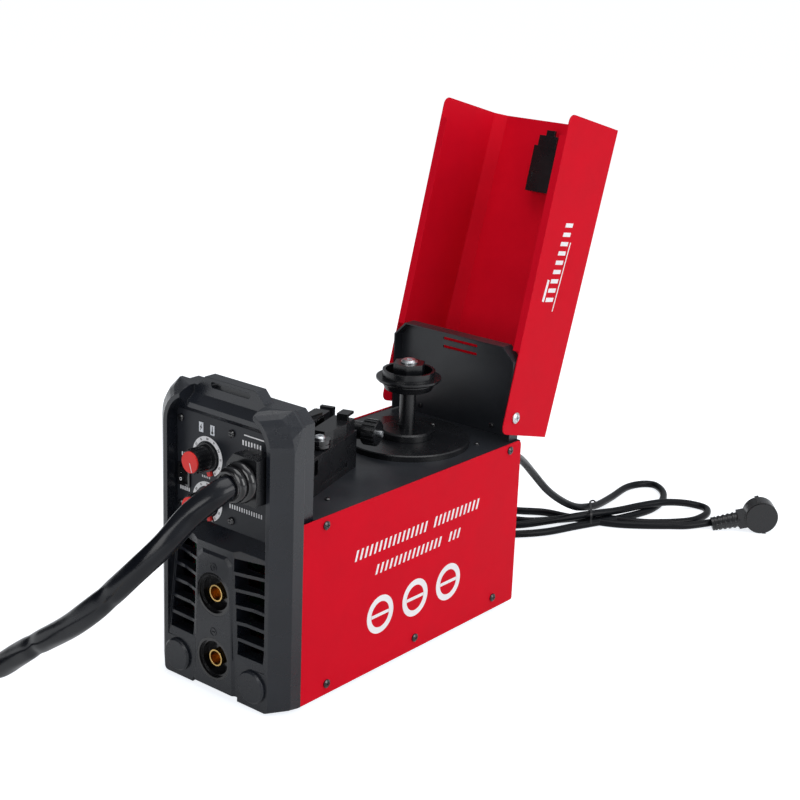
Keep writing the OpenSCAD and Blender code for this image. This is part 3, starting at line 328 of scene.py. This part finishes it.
# Height of the cord's centre line on the floor, and where it crosses over itself
CORD_Z, CORD_UP = -1.75, 6.3
CORD_POINTS = [
    # down from the gland to the tie
    (50, 148, 140), (50, 162, 140), (50, 174, 139.6), (46, 200, 134), (30, 238, 114),
    (14, 281, 86), (6, 322, 54), (2, 359, 30), (2, 390, 14), (2, 420, 6),
    # first loop, back under the tie
    (0, 442, 2), (-7, 482, CORD_Z), (-12, 522, CORD_Z), (-6, 545, CORD_Z), (6, 555, CORD_Z),
    (20, 549, CORD_Z), (33, 535, CORD_Z), (43, 515, CORD_Z), (48, 490, CORD_Z), (47, 468, CORD_Z),
    (38, 433, CORD_Z), (27, 405, CORD_Z), (14, 373, CORD_Z), (0, 336, CORD_Z), (-20, 307, CORD_Z),
    # first turn behind the case
    (-50, 278, CORD_Z), (-86, 254, CORD_Z), (-114, 250, CORD_Z), (-126, 266, CORD_Z),
    (-108, 286, CORD_Z), (-70, 304, CORD_Z), (-37, 328, CORD_Z),
    # second loop, on top of the bundle
    (-10, 361, CORD_Z + 4), (16, 399, CORD_UP), (32, 430, CORD_UP), (44, 465, CORD_UP),
    (57, 492, CORD_UP), (69, 517, CORD_Z + 4), (81, 532, CORD_Z), (94, 530, CORD_Z),
    (102, 518, CORD_Z), (104, 502, CORD_Z), (100, 482, CORD_Z), (84, 459, CORD_Z),
    (61, 437, CORD_Z), (34, 424, CORD_Z), (10, 408, CORD_Z), (-10, 379, CORD_Z),
    (-30, 352, CORD_Z), (-50, 339, CORD_Z),
    # second turn behind the case
    (-84, 322, CORD_Z), (-122, 314, CORD_Z), (-148, 328, CORD_Z), (-144, 350, CORD_Z),
    (-112, 358, CORD_Z), (-80, 356, CORD_Z), (-60, 367, CORD_Z),
    # last run to the plug
    (-36, 384, CORD_Z), (-8, 391, CORD_Z), (16, 400, CORD_Z), (32, 406, CORD_Z), (50, 416, CORD_Z),
    (72, 434, CORD_Z), (90, 451, CORD_Z), (106, 467, CORD_Z), (122.6, 490.8, 0),
]


def cord_radius(along, angle):
    """Three cores twist under the jacket."""
    return 4.2 + 0.04 * math.cos(3 * angle + along * 0.06)


cord = sweep("mains_cord_jacket", smooth_path(CORD_POINTS, 8), cord_radius, MAT["cord_jacket"], "case", 20)
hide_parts("mains_cord")


# ---------- printed and moulded details ----------

def plane_map(origin, across, upward):
    """Maps (u, v, height) in mm onto a plane; height runs out of the face."""
    origin, across, upward = Vector(origin), Vector(across).normalized(), Vector(upward).normalized()
    out = across.cross(upward)
    return lambda u, v, h: origin + across * u + upward * v + out * h


def ring(cu, cv, r0, r1, a0=0, a1=360, steps=48):
    """Ring sector as (inner, outer) point pairs."""
    closed = abs(a1 - a0) >= 360
    count = steps if closed else steps + 1
    angles = [math.radians(a0 + (a1 - a0) * k / steps) for k in range(count)]
    return ("ring", closed, [((cu + r0 * math.cos(a), cv + r0 * math.sin(a)),
                              (cu + r1 * math.cos(a), cv + r1 * math.sin(a))) for a in angles])


def bar(u0, u1, v0, v1, slant=0.0):
    """A rectangle, or a slanted stroke."""
    return ("loop", [(u0, v0), (u1, v0), (u1 + slant, v1), (u0 + slant, v1)])


def hatch(u0, u1, v0, v1, pitch, width, slant):
    """Row of slanted strokes."""
    count = int((u1 - u0) / pitch)
    return [bar(u0 + i * pitch, u0 + i * pitch + width, v0, v1, slant) for i in range(count)]


def relief(name, shapes, place, mat, body, low=0.0, high=0.15):
    """Thin raised shapes on a plane: each is a closed loop or a ring sector."""
    verts, faces = [], []
    for shape in shapes:
        start = len(verts)
        if shape[0] == "loop":
            loop = shape[1]
            n = len(loop)
            verts += [place(u, v, low) * MM for u, v in loop] + [place(u, v, high) * MM for u, v in loop]
            faces += [tuple(start + k for k in reversed(range(n))), tuple(start + n + k for k in range(n))]
            for k in range(n):
                after = (k + 1) % n
                faces.append((start + k, start + after, start + n + after, start + n + k))
        else:
            pairs = shape[2]
            for inner, outer in pairs:
                for h in (low, high):
                    verts += [place(*inner, h) * MM, place(*outer, h) * MM]
            n = len(pairs)
            for k in range(n if shape[1] else n - 1):
                a, b = start + 4 * k, start + 4 * ((k + 1) % n)
                faces += [(a + 2, a + 3, b + 3, b + 2), (a, b, b + 1, a + 1),
                          (a + 1, b + 1, b + 3, a + 3), (a, a + 2, b + 2, b)]
            if not shape[1]:
                a, b = start, start + 4 * (n - 1)
                faces += [(a, a + 1, a + 3, a + 2), (b, b + 2, b + 3, b + 1)]
    return piece(name, verts, faces, mat, body, angle=20)


PANEL_Y = -171.0
panel = plane_map((0, PANEL_Y, 0), (1, 0, 0), (0, 0, 1))
KNOB_X, KNOB_TOP, KNOB_LOW = -22.3, 210.0, 168.3
for tag, z in (("current", KNOB_TOP), ("speed", KNOB_LOW)):
    scale_ring = ring(KNOB_X, z, 14.2, 18.3, -61, 241, 72)
    relief(tag + "_dial_scale", [scale_ring], panel, WHITE_INK, "case", 0.02, 0.2)
    marks = []
    for i in range(11):
        # odd marks are three ticks wide, even ones two, in place of printed numbers
        a = math.radians(-55 + i * 29)
        for spread in (-0.06, 0.0, 0.06) if i % 2 else (-0.03, 0.03):
            c, d = math.cos(a + spread), math.sin(a + spread)
            marks.append(("loop", [(KNOB_X + 15.2 * c + 0.22 * d, z + 15.2 * d - 0.22 * c),
                                   (KNOB_X + 17.3 * c + 0.22 * d, z + 17.3 * d - 0.22 * c),
                                   (KNOB_X + 17.3 * c - 0.22 * d, z + 17.3 * d + 0.22 * c),
                                   (KNOB_X + 15.2 * c - 0.22 * d, z + 15.2 * d + 0.22 * c)]))
    relief(tag + "_dial_ticks", marks, panel, BLACK_INK, "case", 0.15, 0.28)

# White line on each knob's nose, set a little past straight down
POINTER_TURN = math.radians(18)
for tag, z in (("current", KNOB_TOP), ("speed", KNOB_LOW)):
    cap = nodes[tag + "_knob_cap"]
    nose_y = min((cap.matrix_world @ v.co).y for v in cap.data.vertices) / MM
    nose = plane_map((KNOB_X, nose_y, z), (math.cos(POINTER_TURN), 0, math.sin(POINTER_TURN)),
                     (-math.sin(POINTER_TURN), 0, math.cos(POINTER_TURN)))
    relief(tag + "_knob_line", [bar(-0.38, 0.38, -8.9, -0.6)], nose, WHITE_INK, tag + "_dial", -0.2, 0.06)

PANEL_WORDS = (
    hatch(20, 47, 231.5, 236, 3.4, 1.7, 0.0) + [bar(22, 45.5, 240.3, 241.4), bar(36, 47.5, 226.5, 229)]
    + hatch(5, 47, 170, 174, 2.9, 1.3, 0.0)
    + hatch(-29, -16, 189.8, 191.8, 2.2, 1.0, 0.0)
    + hatch(-54.5, -48, 203.5, 207, 2.6, 1.4, 0.0)
    + hatch(-56.5, -43.5, 171.5, 175, 2.6, 1.4, 0.0)
    + hatch(-20.5, -14, 150.9, 152.5, 1.8, 0.8, 0.0)
)
relief("panel_print", PANEL_WORDS, panel, WHITE_INK, "case", 0.02, 0.14)
lens = plane_map((0, PANEL_Y - 0.6, 0), (1, 0, 0), (0, 0, 1))
relief("indicator_icons", [
    ("loop", [(-29.0, 239.0), (-31.3, 235.0), (-30.0, 235.0),
              (-30.8, 231.8), (-28.3, 236.0), (-29.6, 236.0)]),
    bar(-16.4, -15.4, 234.2, 239.2), ring(-15.9, 233.4, 0.0, 1.3, 0, 360, 16),
], lens, BLACK_INK, "case", 0.0, 0.08)
rocker_face = plane_map((-53.2, PANEL_Y - 0.9, 186.4 - 0.6), (1, 0, 0), (0, 0.122, 0.9925))
ROCKER_SHAPES = [bar(-1.7, -1.1, 1.0, 4.2), ring(-1.4, -4.4, 0.9, 1.5, 0, 360, 24)]
relief("rocker_marks", ROCKER_SHAPES, rocker_face, WHITE_INK, "mode_switch", 0.0, 0.12)
column = plane_map((0, -185.5, 0), (1, 0, 0), (0, 0, 1))
# A plus in a ring over the upper socket, a minus in a ring over the lower one
SOCKET_SHAPES = [
    ring(0, 117, 3.2, 3.9, 0, 360, 32), bar(-1.9, 1.9, 116.65, 117.35), bar(-0.35, 0.35, 115.1, 118.9),
    ring(0, 55.4, 3.2, 3.9, 0, 360, 32), bar(-1.9, 1.9, 55.05, 55.75),
]
relief("socket_marks", SOCKET_SHAPES, column, MAT["bezel_plastic"], "case", 0.0, 0.45)

CASE_HALF = 80.0
STROKES = (hatch(-90, 14, 116.6, 126.8, 6.5, 2.6, 3.0) + hatch(22, 96, 117.2, 127.4, 6.5, 2.6, 3.0)
           + hatch(-61, 38, 95.2, 104.6, 6.5, 2.6, 3.0) + hatch(46, 68, 95.6, 105.0, 6.5, 2.6, 3.0))
BADGES = []
for u in (-52, -1.5, 48.7):
    BADGES += [ring(u, 53.6, 12.6, 18.6), bar(u - 12.2, u + 12.2, 52.0, 55.2)]
for tag, side in (("right", 1), ("left", -1)):
    side_plane = plane_map((side * CASE_HALF, 0, 0), (0, side, 0), (0, 0, 1))
    relief(tag + "_side_print", STROKES + BADGES, side_plane, WHITE_INK, "case", 0.02, 0.12)
hood_plane = plane_map((76.4, 206.8, 334.0), (0, -33, -88), (0, 88, -33))
HOOD_SHAPES = hatch(-46, 44, -6.5, 6.0, 9.4, 4.2, -2.5) + [bar(-30, 40, 9.2, 10.6), bar(12, 34, -12.5, -9.0)]
relief("hood_print", HOOD_SHAPES, hood_plane, WHITE_INK, "hood", 0.02, 0.14)


def ribbed_relief():
    """Moulded rings along the plug's strain relief, split by two grooves."""
    plug = Matrix.Translation(Vector((167.6, 521.4, 13.0))) @ Matrix.Rotation(math.radians(38.9), 4, "Z") \
        @ Matrix.Rotation(math.radians(-13.7), 4, "Y")
    path = [plug @ Vector((-52.5 + k * 0.5, 0, 0)) for k in range(54)]

    def radius(along, angle):
        base = 7.1 + along * 0.053
        flat = 0.5 + 0.5 * math.cos(2 * math.pi * along / 5.4)
        split = 1.0 if abs(math.sin(angle)) > 0.22 else 0.0
        return base + (0.9 if along < 2 or flat > 0.42 or not split else -0.35)
    return sweep("plug_strain_relief", path, radius, MAT["black_plastic"], "case", 48)


ribbed_relief()
# The tie's cut end loops up a little beside the bundle
tail = [Vector(p) for p in ((-1.0, 424.0, 9.0), (-0.5, 426.5, 10.6), (2.0, 428.2, 11.0), (5.0, 427.6, 9.6))]
sweep("tie_tail", smooth_path(tail, 6), lambda along, angle: 0.65 + 0.35 * abs(math.cos(angle)),
      MAT["black_plastic"], "case", 12)


# ---------- floor, lights and camera ----------

FLOOR_HALF, FLOOR_Z = 40, -0.0062
floor_mesh = bpy.data.meshes.new("floor")
corners = ((-1, -1), (1, -1), (1, 1), (-1, 1))
floor_mesh.from_pydata([(x * FLOOR_HALF, y * FLOOR_HALF, FLOOR_Z) for x, y in corners], [], [(0, 1, 2, 3)])
floor = bpy.data.objects.new("floor", floor_mesh)
bpy.context.scene.collection.objects.link(floor)
floor_mat = bpy.data.materials.new("pale_floor")
floor_mat.use_nodes = True
ft = floor_mat.node_tree
ft.nodes.clear()
f_out = ft.nodes.new("ShaderNodeOutputMaterial")
f_sum = ft.nodes.new("ShaderNodeAddShader")
f_matt = ft.nodes.new("ShaderNodeBsdfDiffuse")
f_glow = ft.nodes.new("ShaderNodeEmission")
f_path = ft.nodes.new("ShaderNodeLightPath")
f_lift = ft.nodes.new("ShaderNodeMath")
f_lift.operation = "MULTIPLY"
f_lift.inputs[1].default_value = 0.85
f_glow.inputs["Color"].default_value = (0.93, 0.96, 1.0, 1)
f_matt.inputs["Color"].default_value = (0.50, 0.50, 0.50, 1)
ft.links.new(f_path.outputs["Is Camera Ray"], f_lift.inputs[0])
# In reflections the floor is bright in front and behind, and dark across, like between two soft boxes
f_place = ft.nodes.new("ShaderNodeNewGeometry")
f_dot = ft.nodes.new("ShaderNodeVectorMath")
f_dot.operation = "DOT_PRODUCT"
f_dot.inputs[1].default_value = (0.63, 0.77, 0.0)
f_side = ft.nodes.new("ShaderNodeMapRange")
for key, value in (("From Min", 0.0), ("From Max", 0.50), ("To Min", 0.02), ("To Max", 0.66)):
    f_side.inputs[key].default_value = value
f_mirror = ft.nodes.new("ShaderNodeMath")
f_mirror.operation = "MULTIPLY_ADD"
ft.links.new(f_place.outputs["Position"], f_dot.inputs[0])
f_both = ft.nodes.new("ShaderNodeMath")
f_both.operation = "ABSOLUTE"
ft.links.new(f_dot.outputs["Value"], f_both.inputs[0])
ft.links.new(f_both.outputs[0], f_side.inputs["Value"])
ft.links.new(f_side.outputs[0], f_mirror.inputs[0])
ft.links.new(f_path.outputs["Is Glossy Ray"], f_mirror.inputs[1])
ft.links.new(f_lift.outputs[0], f_mirror.inputs[2])
ft.links.new(f_mirror.outputs[0], f_glow.inputs["Strength"])
ft.links.new(f_matt.outputs[0], f_sum.inputs[0])
ft.links.new(f_glow.outputs[0], f_sum.inputs[1])
ft.links.new(f_sum.outputs[0], f_out.inputs[0])
floor_mesh.materials.append(floor_mat)

# White seen by the camera; for light and reflections a soft studio, bright behind on the right
world = bpy.data.worlds.new("studio")
bpy.context.scene.world = world
world.use_nodes = True
wt = world.node_tree
wt.nodes.clear()
w_out = wt.nodes.new("ShaderNodeOutputWorld")
w_mix = wt.nodes.new("ShaderNodeMixShader")
w_seen = wt.nodes.new("ShaderNodeBackground")
w_light = wt.nodes.new("ShaderNodeBackground")
w_path = wt.nodes.new("ShaderNodeLightPath")
w_coords = wt.nodes.new("ShaderNodeTexCoord")
w_dot = wt.nodes.new("ShaderNodeVectorMath")
w_dot.operation = "DOT_PRODUCT"
w_dot.inputs[1].default_value = Vector((0.72, 0.45, 0.52)).normalized()
w_ramp = wt.nodes.new("ShaderNodeMapRange")
for key, value in (("From Min", -0.6), ("From Max", 1.0), ("To Min", 0.03), ("To Max", 0.72)):
    w_ramp.inputs[key].default_value = value
w_seen.inputs["Color"].default_value = (1, 1, 1, 1)
w_light.inputs["Color"].default_value = (0.93, 0.96, 1.0, 1)
wt.links.new(w_coords.outputs["Generated"], w_dot.inputs[0])
wt.links.new(w_dot.outputs["Value"], w_ramp.inputs["Value"])
wt.links.new(w_ramp.outputs[0], w_light.inputs["Strength"])
wt.links.new(w_path.outputs["Is Camera Ray"], w_mix.inputs[0])
wt.links.new(w_light.outputs[0], w_mix.inputs[1])
wt.links.new(w_seen.outputs[0], w_mix.inputs[2])
wt.links.new(w_mix.outputs[0], w_out.inputs[0])


def area_light(name, place, target, size, power):
    """A soft rectangular light aimed at a point."""
    lamp = bpy.data.lights.new(name, "AREA")
    lamp.shape = "RECTANGLE"
    lamp.size, lamp.size_y = size
    lamp.energy = power
    obj = bpy.data.objects.new(name, lamp)
    bpy.context.scene.collection.objects.link(obj)
    obj.location = place
    obj.rotation_euler = (Vector(target) - Vector(place)).to_track_quat("-Z", "Y").to_euler()
    return obj


area_light("key_right", (1.9, 0.2, 1.0), (0.05, 0, 0.12), (1.3, 1.3), 16)
area_light("top", (0.2, 0.2, 1.9), (0, 0, 0.1), (1.5, 1.5), 14)
area_light("front_fill", (0.2, -2.0, 0.9), (0, 0.2, 0.30), (1.2, 1.2), 13)

AZ, EL, ROLL = (math.radians(v) for v in (38.925, 17.632, 2.198))
CAMERA_PLACE = Vector((948.5, -1110.5, 694.4)) * MM
FOCAL_PIXELS, FRAME_PIXELS, SENSOR_MM = 1642.0, 800, 36
back = Vector((math.sin(AZ) * math.cos(EL), -math.cos(AZ) * math.cos(EL), math.sin(EL)))
level_right = (-back).cross(Vector((0, 0, 1))).normalized()
level_up = level_right.cross(-back)
right = level_right * math.cos(ROLL) + level_up * math.sin(ROLL)
up = level_up * math.cos(ROLL) - level_right * math.sin(ROLL)
cam = bpy.data.cameras.new("photo_camera")
cam.lens = FOCAL_PIXELS / FRAME_PIXELS * SENSOR_MM
cam.sensor_width = SENSOR_MM
camera = bpy.data.objects.new("photo_camera", cam)
bpy.context.scene.collection.objects.link(camera)
camera.matrix_world = Matrix((
    (right.x, up.x, back.x, CAMERA_PLACE.x),
    (right.y, up.y, back.y, CAMERA_PLACE.y),
    (right.z, up.z, back.z, CAMERA_PLACE.z),
    (0, 0, 0, 1)))
bpy.context.scene.camera = camera
bpy.context.scene.view_settings.view_transform = "Standard"
